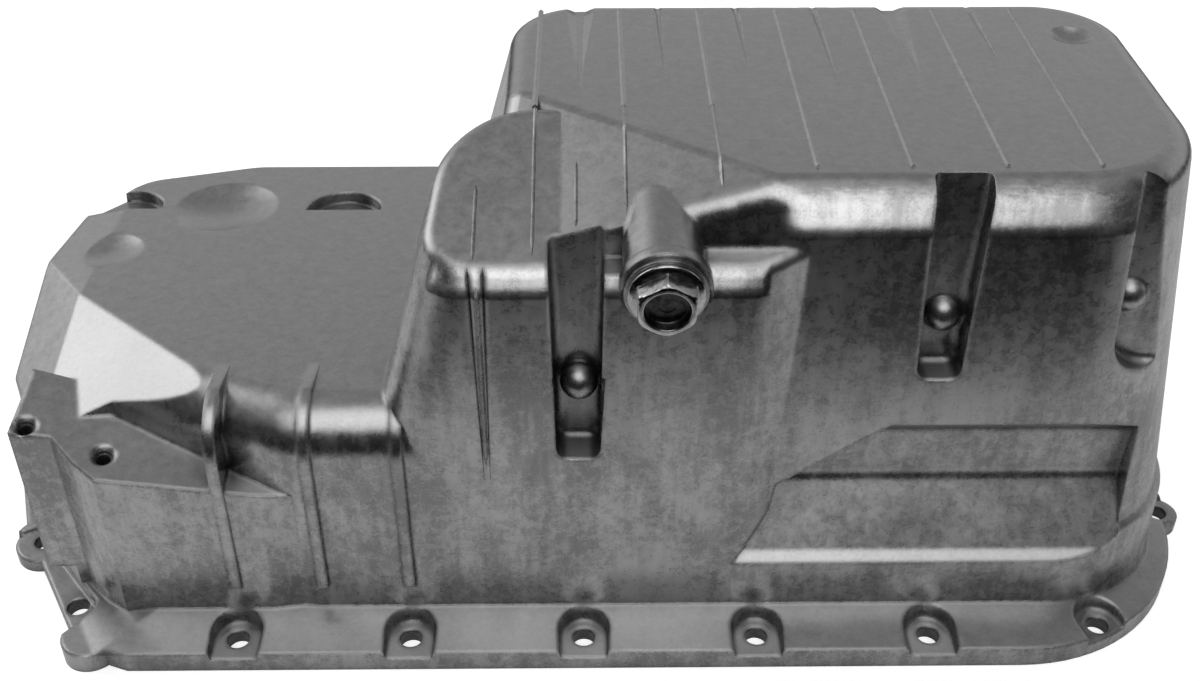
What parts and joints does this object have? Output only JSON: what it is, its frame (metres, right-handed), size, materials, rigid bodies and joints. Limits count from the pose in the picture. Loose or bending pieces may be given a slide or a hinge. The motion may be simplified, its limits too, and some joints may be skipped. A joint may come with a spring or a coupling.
{
  "type": "engine oil pan",
  "caption": "Cast aluminium engine oil pan with a deep sump at one end, a shallow tray, a bolted joint flange and a drain plug that unscrews with its sealing washer.",
  "frame": {"origin": "centre of the joint flange's box on the joint face; the pan stands on its joint face with the sump up", "axes": "+Z away from the joint face towards the sump, +X along the engine towards the deep end, +Y from the drain-plug side to the far side"},
  "size_m": [0.51, 0.2546, 0.1978],
  "materials": {
    "cast_aluminium": "sand-cast satin, mottled, unpainted",
    "plug_steel": "bright zinc-plated",
    "washer_metal": "plain soft metal"
  },
  "bodies": {
    "pan": {"pan_casting": "cast_aluminium"},
    "washer": {"plug_sealing_washer": "washer_metal"},
    "plug": {"drain_plug": "plug_steel"}
  },
  "joints": [
    {"name": "plug_slide", "type": "slide", "parent": "pan", "child": "washer", "axis": [0, -0.9945, -0.1045], "range_m": [0, 0.024]},
    {"name": "plug_turn", "type": "hinge", "parent": "washer", "child": "plug", "pos_m": [0.025, -0.117, 0.171], "axis": [0, -0.9945, -0.1045], "range_deg": [0, 5750]}
  ],
  "couplings": [
    {"joint": "plug_slide", "follows": "plug_turn", "m_per_rad": 0.00023873}
  ]
}
